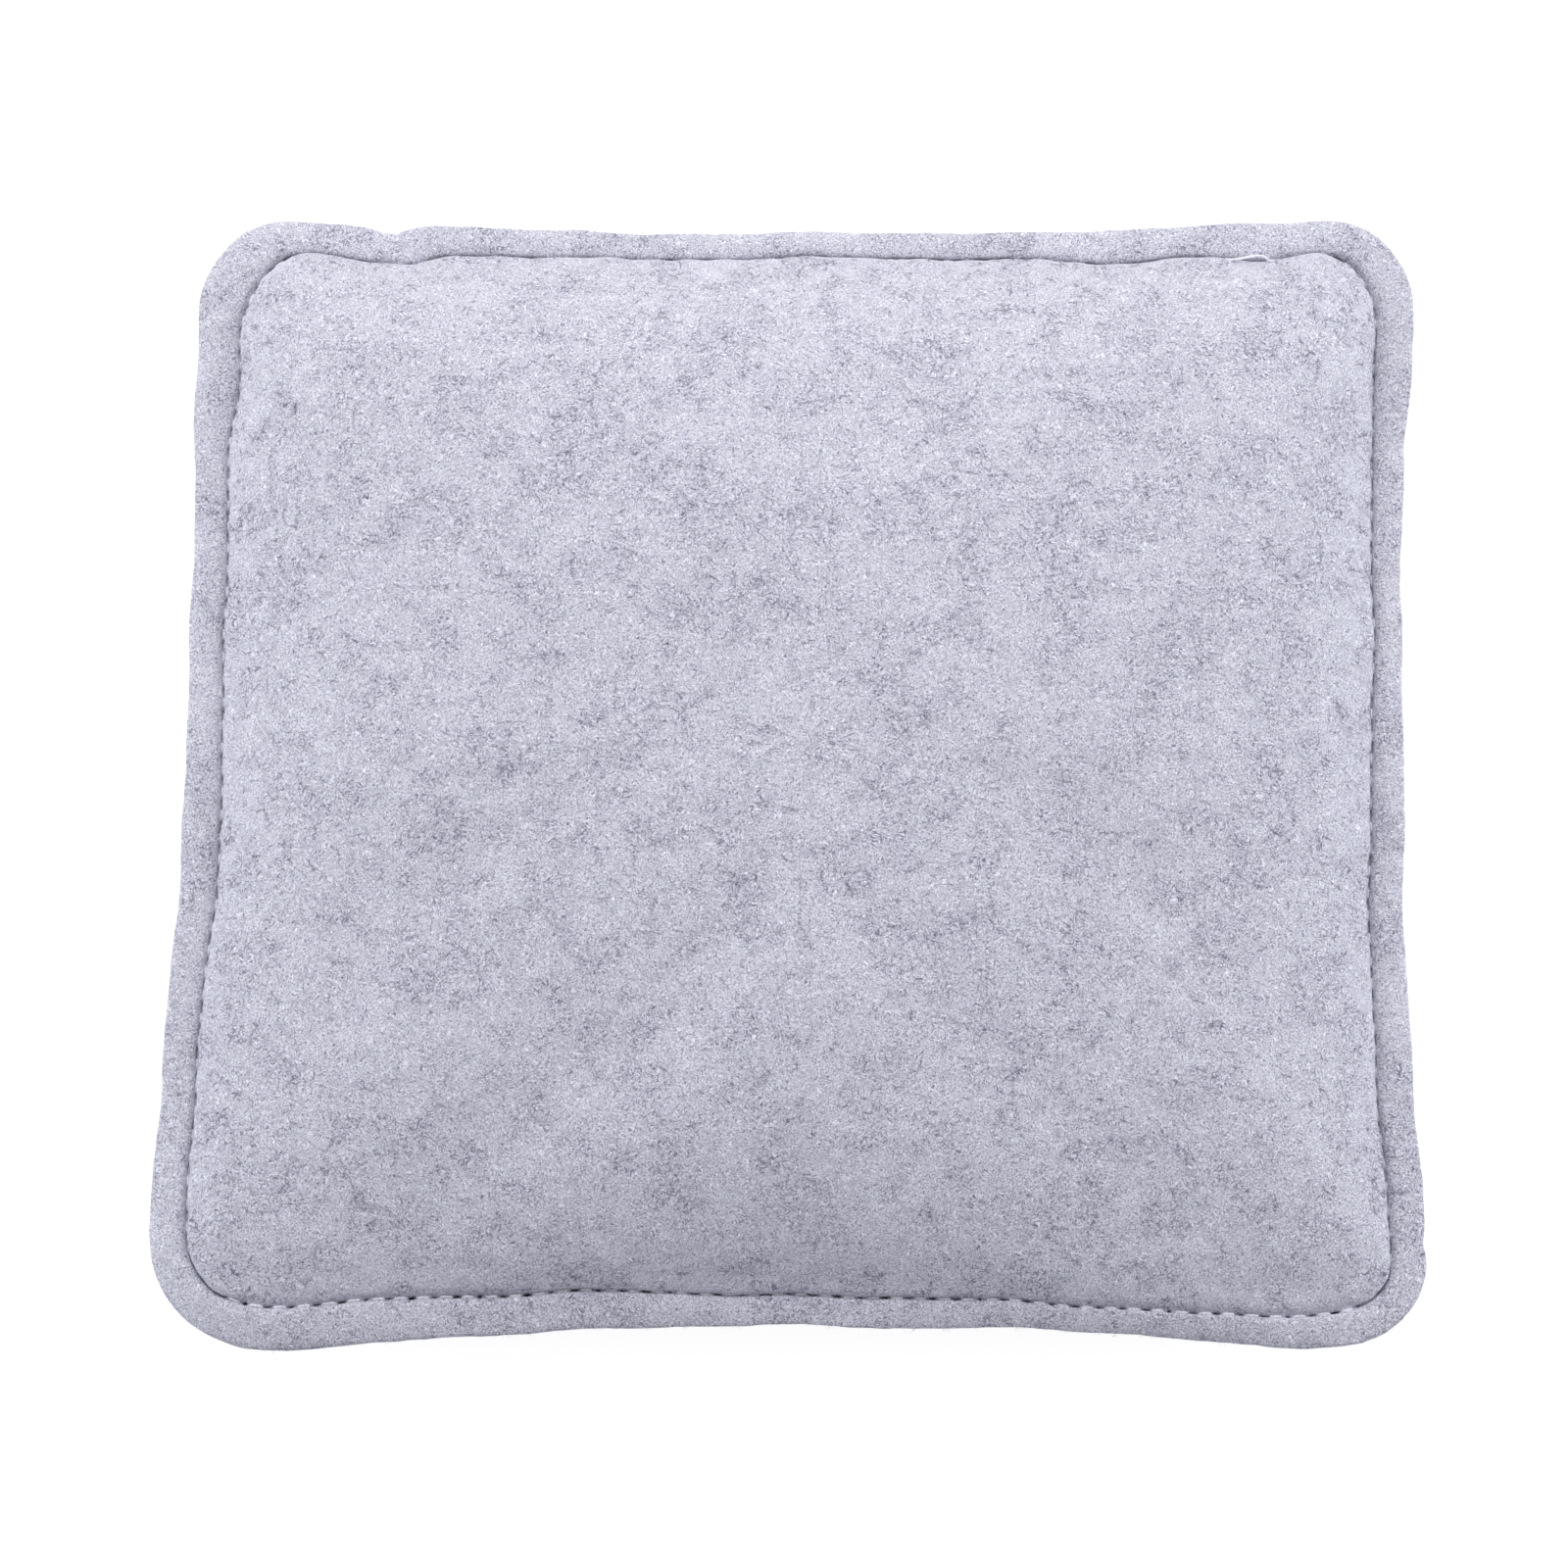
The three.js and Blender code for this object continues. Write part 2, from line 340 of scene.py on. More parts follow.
class PadForm:
    """The pad as a map from shares of the way round, insets from the stitch line and heights off the joint"""

    def __init__(self, scene):
        size = scene.pad_size
        stitch = scene.pad_stitch
        self.size = size
        self.stitch = stitch
        self.half_width = size.panel_width / 2 - size.seam_allowance
        self.half_depth = size.panel_depth / 2 - size.seam_allowance
        self.reach = min(self.half_width, self.half_depth)
        self.pull = np.array(size.side_pull)
        self.corner_shift = np.array(size.corner_shift)
        self.panel_radius = np.array(size.panel_corner_radius)
        self.tightening = np.array(size.corner_tightening)
        self.droop = np.array(size.flange_droop)
        self.corner_ease = np.array(size.corner_ease)
        self.travels = np.linspace(0, STRETCHES, OUTLINE_SAMPLES)
        self.seam_line = self.outline(self.travels, 0.0)
        run = line_run(self.seam_line)
        self.seam_length = run[-1]
        self.shares = run / run[-1]
        self.stitch_count = round(self.seam_length / stitch.stitch_length)

    def corner_radius(self, inset, corner):
        """Corner radius of the outline at insets from the stitch line"""
        size = self.size
        outside = np.clip(-inset / size.seam_allowance, 0, 1)
        inside = np.clip(inset / self.reach, 0, 1) ** 2
        outer = self.panel_radius[corner] - self.tightening[corner] * (1 - outside)
        radius = outer + inside * (self.reach - inset - outer)
        return np.minimum(radius, self.reach - inset)

    def outline(self, travel, inset):
        """Points of the outline, where travel counts the stretches from the front end of the right side"""
        travel, inset = np.broadcast_arrays(np.asarray(travel, float) % STRETCHES, inset)
        quarter = (travel // 2).astype(int)
        along = travel % 2
        faces_x = quarter % 2 == 0
        out = np.where(faces_x, self.half_width, self.half_depth) - inset
        side = np.where(faces_x, self.half_depth, self.half_width) - inset
        radius = self.corner_radius(inset, quarter)
        side_start = -(side - self.corner_radius(inset, (quarter + 3) % 4))
        side_end = side - radius
        from_corner = np.clip(np.minimum(along, 1 - along) / PULL_SHARE, 0, 1)
        fade = (1 - np.clip(inset, 0, None) / self.reach) ** 2
        pull = self.pull[quarter] * fade * smooth(from_corner)
        turn = np.clip(along - 1, 0, 1) * math.pi / 2
        on_side = along < 1
        outward = np.where(on_side, out - pull, out - radius + radius * np.cos(turn))
        side_run = side_start + (side_end - side_start) * along
        sideways = np.where(on_side, side_run, side_end + radius * np.sin(turn))
        angle = quarter * math.pi / 2
        x = outward * np.cos(angle) - sideways * np.sin(angle)
        y = outward * np.sin(angle) + sideways * np.cos(angle)
        return np.stack((x, y), -1)

    def ring_travel(self, share, inset):
        """Travel at shares of the way round, spread evenly over a ring that lies far in"""
        share = np.asarray(share) % 1.0
        at_seam = np.interp(share, self.shares, self.travels)
        ring_inset = float(np.mean(inset))
        if ring_inset <= 0:
            return at_seam
        run = line_run(self.outline(self.travels, ring_inset))
        even = np.interp(share, run / run[-1], self.travels)
        return at_seam + smooth(min(ring_inset / (EVEN_DEPTH * self.reach), 1)) * (even - at_seam)

    def share_near(self, x, y):
        """Share of the way round that is nearest to a place on the table"""
        apart = np.hypot(self.seam_line[:, 0] - x, self.seam_line[:, 1] - y)
        return self.shares[np.argmin(apart)]

    def place(self, share, inset, height):
        """Points of the pad, with the droop of its flange, its puckers and its lean"""
        size = self.size
        travel = self.ring_travel(share, inset)
        share, travel, inset, height = np.broadcast_arrays(share, travel, inset, height)
        outside = np.clip(-inset, 0, None)
        out_share = np.clip(outside / size.seam_allowance, 0, 1)
        seam = self.outline(travel, 0.0)
        right, back = seam[..., 0] / self.half_width, seam[..., 1] / self.half_depth
        facing = smooth(np.clip(np.stack((right, back, -right, -back), -1), 0, 1))
        slope = (facing * self.droop).sum(-1) / facing.sum(-1)
        diagonal = np.stack((right + back, back - right, -right - back, right - back), -1) / CORNER_SUM
        corner = (smooth(np.clip(2 * diagonal - 1, 0, 1)) * self.corner_ease).sum(-1)
        edge_slope = slope + 2 * size.flange_round / size.seam_allowance
        turned_out = height * edge_slope * smooth(out_share)
        inside = np.clip(inset, 0, None)
        tuck = self.drift(share, out_share, inside) + waves(share, SEAM_SWAY) * np.exp(-inside / SWAY_FADE)
        flat = self.outline(travel, inset - turned_out + tuck + size.edge_trim * out_share)
        x, y = flat[..., 0], flat[..., 1]
        z = size.seam_level + height - slope * outside - size.flange_round * out_share**2
        z = z + waves(share, FLANGE_WAVE) * out_share**1.5 - self.folds(share) * out_share
        ease = np.clip(inside / SINK_REACH, 0, 1)
        sunk = SINK_PEAK * ease * (1 - ease) ** 2
        z = z - corner * sunk * np.clip(height / SINK_HEIGHT, 0, 1)
        right = np.clip(0.5 + x / (2 * self.half_width), -0.1, 1.1)
        back = np.clip(0.5 + y / (2 * self.half_depth), -0.1, 1.1)
        back_right, back_left, front_left, front_right = self.corner_shift
        shift = back * (right * back_right + (1 - right) * back_left)
        shift += (1 - back) * (right * front_right + (1 - right) * front_left)
        x = x + shift + size.lean * np.clip(height - size.felt_thickness, 0, None)
        return np.stack((x, y, z), -1)

    def nearness(self, share, x, y, width):
        """1 at the part of the seam nearest to a place, fading over a half width"""
        apart = (share - self.share_near(x, y) + 0.5) % 1.0 - 0.5
        return np.exp(-((apart * self.seam_length / width) ** 2))

    def drift(self, share, out_share, inside):
        """How far puckers draw the felt in at the cut edge and at the seam, fading inside it"""
        total = np.zeros(np.shape(share))
        for x, y, edge, seam, width in MM * np.array(PUCKERS):
            near = self.nearness(share, x, y, width)
            fade = np.exp(-inside / (PUCKER_FADE + 0.3 * width))
            total = total + near * fade * (seam + (edge - seam) * out_share)
        return total

    def folds(self, share):
        """Depth of the narrow folds that the uneven seam leaves across the flange"""
        total = np.zeros(np.shape(share))
        for x, y, depth, width in MM * np.array(FOLDS):
            total = total + depth * self.nearness(share, x, y, width)
        return total

    def section(self, rise, flat_at, spacing, foot, foot_height):
        """Insets and heights of a bulge from its foot to near the middle, a step apart that grows inwards"""
        share = np.linspace(0, 1, SECTION_SAMPLES) ** 2
        inset = foot + (self.reach - foot) * share
        height = rise * (1 - (1 - share) ** self.size.fullness)
        if flat_at < rise:
            past = np.log1p(np.exp((height - flat_at) / REST_SOFTNESS))
            height = np.clip(height - REST_SOFTNESS * past, 0, flat_at)
        run = running_total(np.hypot(np.diff(inset), np.diff(height)))
        stops = [0.0]
        last = run[np.searchsorted(inset, self.reach - CROWN_CAP)]
        while stops[-1] < last:
            grown = smooth(min(stops[-1] / STEP_GROWTH, 1))
            stops.append(stops[-1] + spacing[0] + (spacing[1] - spacing[0]) * grown)
        stops = np.array(stops)
        return np.interp(stops, run, inset), foot_height + np.interp(stops, run, height)


def running_total(steps):
    """Length along a line up to each of its points, from the steps between them"""
    return np.concatenate(([0], np.cumsum(steps)))


def line_run(line):
    """Length along a line up to each of its points"""
    return running_total(np.linalg.norm(np.diff(line, axis=0), axis=1))


def smooth(value):
    """Eases a share from 0 to 1"""
    return value * value * (3 - 2 * value)


def waves(share, terms):
    """Sum of sine waves round the pad"""
    turn = 2 * math.pi * np.asarray(share)
    return MM * sum(height * np.sin(count * turn + phase) for height, count, phase in terms)


def lumps(points, scale, seed):
    """Soft random values from -1 to 1 at points, with features about a scale in size"""
    offset = Vector((seed * 7.31, seed * 3.17, seed * 5.77))
    return np.array([noise.noise(Vector(point) / scale + offset) for point in points])


def loft_faces(counts, first_pole, last_pole):
    """Faces between rings whose counts are equal, halved or doubled, and a fan to a pole at each end"""
    faces = []
    start = 0
    for count, following in zip(counts, counts[1:]):
        a, b = start, start + count
        few = min(count, following)
        fine, many = (b, following) if count < following else (a, count)
        for j in range(few):
            k = (j + 1) % few
            near, middle, far = fine + 2 * j, fine + 2 * j + 1, fine + (2 * j + 2) % many
            if count == following:
                faces.append((a + j, b + j, b + k, a + k))
            elif count < following:
                faces += [(a + j, near, middle), (a + j, middle, a + k), (a + k, middle, far)]
            else:
                faces += [(near, b + j, middle), (middle, b + j, b + k), (middle, b + k, far)]
        start = b
    faces += [(first_pole, j, (j + 1) % counts[0]) for j in range(counts[0])]
    faces += [(last_pole, start + (j + 1) % counts[-1], start + j) for j in range(counts[-1])]
    return faces


def mesh_object(name, points, faces):
    """A smooth mesh object in the scene"""
    mesh = bpy.data.meshes.new(name)
    mesh.from_pydata(points.tolist(), [], faces)
    mesh.validate()
    mesh.shade_smooth()
    piece = bpy.data.objects.new(name, mesh)
    bpy.context.scene.collection.objects.link(piece)
    return piece


def lofted(name, rings):
    """A closed mesh object through rings of points, with a pole at the middle of the first and last ring"""
    counts = [len(ring) for ring in rings]
    points = np.concatenate([*rings, [rings[0].mean(axis=0)], [rings[-1].mean(axis=0)]])
    return mesh_object(name, points, loft_faces(counts, len(points) - 2, len(points) - 1))


def finish_piece(piece, material, slot, *nodes):
    """Gives a piece its finish and its body, and hides the solids that it stands for"""
    piece.data.materials.append(material)
    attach(piece, BODY)
    if nodes:
        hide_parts(*nodes)


def stored(items, *names):
    """Vectors of a mesh's points or faces, as rows"""
    for name in names:
        values = np.empty(len(items) * 3, np.float32)
        items.foreach_get(name, values)
        yield values.reshape(-1, 3).astype(float)


def point_values(piece, name, values):
    """Stores one number for each point of a piece, for its material"""
    attribute = piece.data.attributes.new(name, "FLOAT", "POINT")
    attribute.data.foreach_set("value", np.asarray(values, np.float32))


def ring_shares(count):
    """Equal shares of the way round"""
    return np.arange(count) / count


def stitch_press(form, share, inset):
    """How far the stitches and their uneven needle holes press the felt in along the stitch line"""
    stitch = form.stitch
    stitches = np.asarray(share) * form.stitch_count
    nearest = np.floor(stitches + 0.5) % form.stitch_count
    apart = np.abs(stitches - np.floor(stitches + 0.5)) * stitch.stitch_length
    reach = MM * (0.6 + 0.17 * np.sin(2.4 * nearest))
    depth = stitch.hole_depth * (0.8 + 0.2 * np.sin(3.7 * nearest + 1))
    hole = depth * np.exp(-((apart / reach) ** 4) - (inset / HOLE_HALF_WIDTH) ** 2)
    groove = stitch.groove_depth * np.exp(-((inset / GROOVE_HALF_WIDTH) ** 2))
    return groove + hole


def along_seam(travel, start, end, fade):
    """1 on a stretch of the outline, fading to 0 beyond its ends"""
    beyond = np.maximum(np.maximum(start - travel, travel - end), 0)
    return 1 - smooth(np.clip(beyond / fade, 0, 1))


class SeamLook:
    """How the seam differs round the pad: open stitches in front, the wall hanging over them elsewhere"""

    def __init__(self, form, share):
        stitch = form.stitch
        travel = form.ring_travel(share, 0.0)
        turn = 2 * math.pi * np.asarray(share)
        front = along_seam(travel, *FRONT)
        near_front = along_seam(travel, *NEAR_FRONT)
        back = along_seam(travel, *BACK)
        off_middle = form.outline(travel, 0.0)[..., 0] - OVERHANG_MIDDLE
        middle = front * np.exp(-((off_middle / OVERHANG_HALF_WIDTH) ** 2))
        self.felt = form.size.felt_thickness
        self.reach = form.reach
        self.roll_width = stitch.roll_width
        self.roll = stitch.roll_depth * (1 - 0.55 * front + 0.3 * middle)
        self.lift = stitch.roll_depth - self.roll
        ragged = np.sin(96 * turn + 2 * np.sin(13 * turn))
        self.hang = MM * (0.6 + 0.4 * near_front - 0.95 * front + 0.7 * middle + 0.1 * back + 0.12 * ragged)
        self.stand = MM * (0.9 - 0.6 * front + 0.3 * middle + 0.9 * back)
        self.steep = STEEP_RISE * along_seam(travel, *STEEP_FRONT)
        # Painted shade along the back crease, unevenly strong
        self.crease_shade = back * (0.65 + 0.15 * np.sin(19 * turn) + 0.12 * np.sin(47 * turn + 2))
        self.sink = MM * (0.08 * front + 0.22 * middle + 0.1 * np.sin(3 * turn + 1.0) * np.cos(7 * turn))

    def flange_height(self, inset):
        """Height of the flange's outer face, which rolls down to the seam"""
        return self.felt - self.roll * math.exp(min(inset, 0) / self.roll_width)

    def wall(self, inset, climb):
        """How far the wall's pinched foot hangs over the stitches and stands up beside them"""
        foot = 1 - math.exp(-((inset / FOOT_WIDTH) ** 2))
        bank = 1 - math.exp(-((max(inset, 0) / BANK_WIDTH) ** 1.3))
        stand = (self.stand * foot + self.steep * bank) * (1 - inset / self.reach) ** 2
        up = np.clip((climb + stand) / HANG_CLIMB, 0, 1)
        lift = self.lift * (1 - smooth(min(climb / LIFT_CLIMB, 1)))
        return self.hang * np.sin(math.pi * up**0.6), stand + lift


def cloth_relaxed(form, name, insets, heights, direction):
    """Moves that a cloth under pressure, sewn down at its foot, makes away from the drawn bulge"""
    count = form.stitch_count
    share = ring_shares(count)
    rings = [form.place(share, inset, direction * height) for inset, height in zip(insets, heights)]
    start = np.array(rings)
    cloth = lofted(name, rings[::-1])
    if direction < 0:
        cloth.data.flip_normals()
    group = cloth.vertex_groups.new(name="sewn")
    total = len(cloth.data.vertices)
    sewn_from = (len(rings) - 2) * count
    group.add(list(range(sewn_from, len(rings) * count)) + [total - 1], 1.0, "REPLACE")
    fabric = cloth.modifiers.new("Cloth", "CLOTH")
    for key, value in CLOTH_SETTINGS.items():
        setattr(fabric.settings, key, value)
    fabric.settings.effector_weights.gravity = 0
    fabric.collision_settings.use_collision = False
    scene = bpy.context.scene
    for step in range(1, CLOTH_FRAMES + 1):
        scene.frame_set(step)
    settled = cloth.evaluated_get(bpy.context.evaluated_depsgraph_get())
    moved = next(stored(settled.data.vertices, "co"))
    moved = moved[: len(rings) * count].reshape(len(rings), count, 3)[::-1]
    scene.frame_set(1)
    bpy.data.objects.remove(cloth)
    move = moved - start
    length = np.linalg.norm(move, axis=-1, keepdims=True)
    return move * np.minimum(1, CLOTH_CAP / np.maximum(length, 1e-9))


class BulgeMove:
    """The cloth's moves over a bulge, read at any share of the way round and any run up the section"""

    def __init__(self, form, name, section, direction):
        insets, heights = section
        picked = np.unique(np.linspace(0, len(insets) - 1, CLOTH_ROWS).astype(int))
        self.rows = picked
        self.moves = np.zeros((len(picked), form.stitch_count, 3))
        self.moves = cloth_relaxed(form, name, insets[picked], heights[picked], direction)

    def at(self, row, share):
        """Moves of one ring of the section"""
        before = np.clip(np.searchsorted(self.rows, row, side="right") - 1, 0, len(self.rows) - 2)
        mix = (row - self.rows[before]) / (self.rows[before + 1] - self.rows[before])
        ring = (1 - mix) * self.moves[before] + mix * self.moves[before + 1]
        count = ring.shape[0]
        where = np.asarray(share) * count
        low = np.floor(where).astype(int)
        part = (where - low)[:, None]
        return (1 - part) * ring[low % count] + part * ring[(low + 1) % count]


def felt_panel(form, name, direction, rise, flat_at):
    """One felt panel as a closed shell: outer bulge, groove, flange, cut edge, joint face and inner bulge"""
    size = form.size
    felt = size.felt_thickness
    base_count = form.stitch_count * STEPS_PER_STITCH
    pinched = felt - form.stitch.roll_depth
    section = form.section(rise - pinched, flat_at - pinched, OUTER_SPACING, WALL_FOOT, pinched)
    moves = BulgeMove(form, name + "_cloth", section, direction)
    rings, seam_shades, pulls = [], [], []

    def add(count, inset, height=None, row=None):
        share = ring_shares(count)
        look = SeamLook(form, share)
        press = stitch_press(form, share, inset)
        if row is None:
            points = form.place(share, inset, direction * (look.flange_height(inset) - press))
            pull = 0.0
        else:
            hang, stand = look.wall(inset - WALL_FOOT, height - pinched)
            points = form.place(share, inset - hang, direction * (height + stand - press))
            points = points + moves.at(row, share)
            pull = math.exp(-((inset / WALL_PULL_REACH) ** 2))
        rings.append(points)
        # Painted shade: the felt beside the back crease is painted darker
        painted_crease = look.crease_shade * math.exp(-abs(inset) / CREASE_SHADE_REACH)
        # Painted shade in the needle holes, from how deep the stitches press, plus the painted shade of the
        # back crease
        seam_shades.append(press / (form.stitch.groove_depth + form.stitch.hole_depth) + painted_crease)
        pulls.append(np.full(count, pull))

    def add_plain(count, inset, height):
        rings.append(form.place(ring_shares(count), inset, direction * height))
        seam_shades.append(np.zeros(count))
        pulls.append(np.zeros(count))

    for row in reversed(range(len(section[0]))):
        count = base_count if row < FULL_ROWS else base_count // 2 if row < HALF_ROWS else base_count // 4
        add(count, section[0][row], section[1][row], row)
    for inset in FLANGE_RINGS:
        add(base_count, inset * MM)
    edge = -size.seam_allowance
    for inward, height in EDGE_RINGS:
        add_plain(base_count, edge + inward * MM, height * felt)
    joint = JOINT_SHARE * felt
    for part, inset in ((2, edge + 1.5 * MM), (4, edge + 4 * MM), (8, WALL_FOOT)):
        add_plain(base_count // part, inset, joint)
    inner = form.section(rise - felt, flat_at - felt, INNER_SPACING, WALL_FOOT + felt, joint)
    for inset, height in zip(*inner):
        add_plain(base_count // 8, inset, height)
    if direction < 0:
        for values in (rings, seam_shades, pulls):
            values.reverse()
    piece = lofted(name, rings)
    roughen(piece, form)
    for key, values in (("painted_seam_shade", seam_shades), ("wall_pull", pulls)):
        point_values(piece, key, np.concatenate([*values, [0.0, 0.0]]))
    return piece


def roughen(piece, form):
    """Uneven stuffing and felt: soft lumps that fade out at the seam and at the table"""
    mesh = piece.data
    points, normals = stored(mesh.vertices, "co", "normal")
    off_seam = np.clip(np.abs(points[:, 2] - form.size.seam_level) / LUMP_FADE, 0, 1)
    off_table = np.clip(points[:, 2] / TABLE_FADE, 0, 1)
    total = np.zeros(len(points))
    for seed, (scale, height, fades) in enumerate(LUMPS, 1):
        total += height * lumps(points, scale * MM, seed) * (off_seam if fades else 1)
    points += normals * (MM * total * off_table)[:, None]
    points[:, 2] = np.maximum(points[:, 2], 0)
    mesh.vertices.foreach_set("co", points.astype(np.float32).ravel())
    mesh.update()


def spokes(across, above, sides):
    """Directions from a tube's middle line to its sides, given the directions across and above the line"""
    angle = np.arange(sides)[:, None] / sides * 2 * math.pi
    return across[..., None, :] * np.cos(angle) + above[..., None, :] * np.sin(angle)


def thread_line(form, first, last, direction, slack=0):
    """Middle line of a thread from one needle hole to another, sunk into each hole"""
    stitch = form.stitch
    holes = np.linspace(first, last, (last - first) * THREAD_STEPS + 1)
    share = holes / form.stitch_count
    apart = np.abs((holes + 0.5) % 1.0 - 0.5) * stitch.stitch_length
    dip = np.exp(-((apart / DIP_HALF_LENGTH) ** 4))
    look = SeamLook(form, share)
    base = look.flange_height(0) - stitch.groove_depth + THREAD_SEAT
    height = base - look.sink - THREAD_DIP * dip
    inset = np.zeros_like(share)
    if slack:
        done = np.clip((holes - first) / slack, 0, 1)
        loose = np.sin(np.pi * done)
        height = np.where(done < 1, np.maximum(height, base + LOOP_RISE * np.sqrt(loose)), height)
        inset = MM * loose * (LOOP_IN - LOOP_OUT * loose)
        share = share - (LOOP_START * (1 - done) + LOOP_LEAN * loose) / form.stitch_count
    return form.place(share, inset, direction * height)


def thread_piece(name, line, diameter):
    """A thread as a closed tube along its middle line"""
    ahead = unit(np.gradient(line, axis=0))
    across = unit(np.cross(ahead, (0, 0, 1)))
    above = np.cross(across, ahead)
    return lofted(name, list(line[:, None] + diameter / 2 * spokes(across, above, THREAD_SIDES)))


def fibre_piece(name, draw, roots, leads, lifts, lengths, curl, radius):
    """Fine curled fibres as tapered three-sided tubes"""
    steps, sides = FIBRE_STEPS, FIBRE_SIDES
    count = len(roots)
    curls = draw.normal(0, curl, count)
    sways = draw.normal(0, SWAY_SPREAD, count)
    share = np.linspace(0, 1, steps + 1)
    turned = np.cross(lifts, leads)
    bend = curls[:, None] * share + sways[:, None] * np.sin(2 * math.pi * share + 3 * curls[:, None])
    way = leads[:, None] * np.cos(bend)[..., None] + turned[:, None] * np.sin(bend)[..., None]
    stretch = (np.cumsum(way, axis=1) - way) / steps * lengths[:, None, None]
    rise = np.sin(math.pi * share)[None, :, None] * lifts[:, None] * (0.1 * lengths)[:, None, None]
    line = roots[:, None] + stretch + rise
    taper = radius * (1 - 0.7 * np.abs(2 * share - 1) ** 3)
    spoke = spokes(np.cross(lifts[:, None], way), lifts[:, None], sides)
    points = (line[:, :, None] + spoke * taper[None, :, None, None]).reshape(-1, 3)
    per = (steps + 1) * sides
    corner = np.arange(steps * sides)
    following = corner - corner % sides + (corner + 1) % sides
    quads = np.stack((corner, following, following + sides, corner + sides), -1)
    caps = np.array([(2, 1, 0), (per - 3, per - 2, per - 1)])
    starts = np.arange(count) * per
    faces = (starts[:, None, None] + quads).reshape(-1, 4).tolist()
    faces += (starts[:, None, None] + caps).reshape(-1, 3).tolist()
    piece = mesh_object(name, points, faces)
    tones = np.random.default_rng(TONE_SEED).uniform(0, 1, count)
    point_values(piece, "fibre_tone", np.repeat(tones, per))
    return piece


def unit(vectors):
    """Vectors of length 1"""
    return vectors / np.maximum(np.linalg.norm(vectors, axis=-1, keepdims=True), 1e-12)


class NodeTree:
    """Adds and links the nodes of one material or world"""

    def __init__(self, owner):
        owner.use_nodes = True
        self.owner = owner
        self.tree = owner.node_tree

    def add(self, kind, inputs=(), **settings):
        """A node with settings, and values or links for its inputs"""
        node = self.tree.nodes.new(kind)
        for key, value in settings.items():
            setattr(node, key, value)
        for key, value in dict(inputs).items():
            self.feed(node.inputs[key], value)
        return node

    def feed(self, socket, value):
        """Sets an input, or links it to another node's output"""
        if isinstance(value, bpy.types.NodeSocket):
            self.tree.links.new(value, socket)
        else:
            socket.default_value = value

    def surface(self, inputs, name="Principled BSDF"):
        """Feeds the node that gives the surface, and returns the material or world"""
        for key, value in inputs.items():
            self.feed(self.tree.nodes[name].inputs[key], value)
        return self.owner

    def math(self, operation, *values):
        """Output of a calculation"""
        node = self.add("ShaderNodeMath", dict(enumerate(values)), operation=operation)
        return node.outputs[0]

    def attribute(self, name):
        """A number that is stored at each point of a piece"""
        return self.add("ShaderNodeAttribute", attribute_name=name).outputs["Fac"]

    def bump(self, height, strength, distance):
        """Normals of a fine relief"""
        inputs = {"Height": height, "Strength": strength, "Distance": distance}
        return self.add("ShaderNodeBump", inputs).outputs[0]

    def ramp(self, value, low, high, start=0.0, end=1.0):
        """Eases a value from start to end between low and high"""
        inputs = {"Value": value, "From Min": low, "From Max": high, "To Min": start, "To Max": end}
        return self.add("ShaderNodeMapRange", inputs, interpolation_type="SMOOTHSTEP").outputs[0]

    def mix(self, share, a, b):
        """Blend of two colours"""
        return self.add("ShaderNodeMix", {0: share, 6: a, 7: b}, data_type="RGBA").outputs[2]

    def tones(self, value, stops):
        """Colour that a value picks between stops"""
        node = self.add("ShaderNodeValToRGB", {"Fac": value})
        elements = node.color_ramp.elements
        while len(elements) < len(stops):
            elements.new(0.5)
        for element, (position, colour) in zip(elements, stops):
            element.position = position
            element.color = toned(colour)
        return node.outputs["Color"]

    def noise(self, vector, feature, detail=2.0, rough=0.5):
        """Noise whose features are about a size in millimetres"""
        inputs = {"Vector": vector, "Scale": 1 / feature, "Detail": detail, "Roughness": rough}
        return self.add("ShaderNodeTexNoise", inputs).outputs["Fac"]


def scaled(nodes, place, factor):
    """Coordinates times a factor"""
    return nodes.add("ShaderNodeVectorMath", {0: place, "Scale": factor}, operation="SCALE").outputs[0]


def shifted(nodes, place, offset):
    """Coordinates moved by an offset, so that two layers of one noise differ"""
    return nodes.add("ShaderNodeVectorMath", {0: place, 1: offset}, operation="ADD").outputs[0]


def millimetres(nodes):
    """Texture coordinates in millimetres"""
    return scaled(nodes, nodes.add("ShaderNodeTexCoord").outputs["Object"], 1 / MM)


def toned(colour, factor=1.0):
    """A colour times a factor, with its alpha"""
    return (*(factor * part for part in colour), 1.0)


def strands(nodes, place, feature, width, offset=None):
    """Thin curly strands: 1 along a strand and 0 off it"""
    if offset:
        place = shifted(nodes, place, offset)
    level = nodes.noise(place, feature, 1.0, 0.5)
    off = nodes.math("ABSOLUTE", nodes.math("SUBTRACT", level, 0.5))
    return nodes.ramp(off, 0.0, width, 1.0, 0.0)


def strokes(nodes, place, angle, width, stretch):
    """Noise drawn out along one direction, as short straight fibres lie"""
    inputs = {"Vector": place, "Rotation": (0, 0, angle), "Scale": (stretch, 1, 1)}
    turned = nodes.add("ShaderNodeMapping", inputs, vector_type="TEXTURE")
    return nodes.noise(turned.outputs[0], width, 1.0, 0.5)


def wandering(nodes, place, feature, reach):
    """Coordinates that wander, so that strokes along them curl"""
    wander = nodes.add("ShaderNodeTexNoise", {"Vector": place, "Scale": 1 / feature, "Detail": 1.0})
    inputs = {0: wander.outputs["Color"], 1: (0.5, 0.5, 0.5)}
    offset = nodes.add("ShaderNodeVectorMath", inputs, operation="SUBTRACT")
    return shifted(nodes, place, scaled(nodes, offset.outputs[0], reach))


def new_material(name):
    """Node tree of a new material"""
    return NodeTree(bpy.data.materials.new(name))


